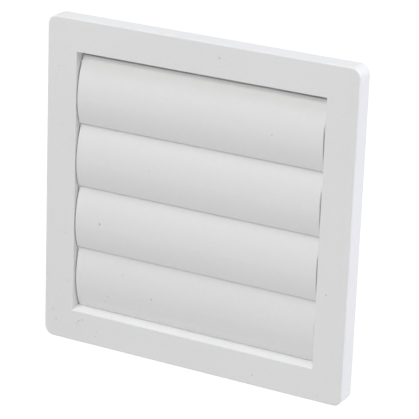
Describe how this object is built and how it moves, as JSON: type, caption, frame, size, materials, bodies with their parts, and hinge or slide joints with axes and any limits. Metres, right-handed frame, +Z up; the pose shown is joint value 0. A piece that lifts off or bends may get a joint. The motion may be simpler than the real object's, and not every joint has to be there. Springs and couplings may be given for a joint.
{
  "type": "louvred grille",
  "caption": "White square wall grille: a flat rounded frame, overlapping bowed flaps that swing outward on stub pins, and a round duct spigot behind.",
  "frame": {"origin": "on the duct spigot's axis, in the plane of the rear rim that meets the wall", "axes": "+Y into the wall along the spigot, +Z up, the flaps' face looks along -Y"},
  "size_m": [0.15, 0.0439, 0.15],
  "materials": {
    "frame_plastic": "fine spark-eroded matte white",
    "flap_plastic": "smooth satin white"
  },
  "bodies": {
    "frame": {"frame": "frame_plastic"},
    "flap_1": {"flap_1": "flap_plastic"},
    "flap_2": {"flap_2": "flap_plastic"},
    "flap_3": {"flap_3": "flap_plastic"},
    "flap_4": {"flap_4": "flap_plastic"}
  },
  "joints": [
    {"name": "flap_1_hinge", "type": "hinge", "parent": "frame", "child": "flap_1", "pos_m": [0, -0.00469, 0.05515], "axis": [-1, 0, 0], "range_deg": [0, 70]},
    {"name": "flap_2_hinge", "type": "hinge", "parent": "frame", "child": "flap_2", "pos_m": [0, -0.00469, 0.0263], "axis": [-1, 0, 0], "range_deg": [0, 70]},
    {"name": "flap_3_hinge", "type": "hinge", "parent": "frame", "child": "flap_3", "pos_m": [0, -0.00469, -0.00255], "axis": [-1, 0, 0], "range_deg": [0, 70]},
    {"name": "flap_4_hinge", "type": "hinge", "parent": "frame", "child": "flap_4", "pos_m": [0, -0.00469, -0.0314], "axis": [-1, 0, 0], "range_deg": [0, 70]}
  ]
}
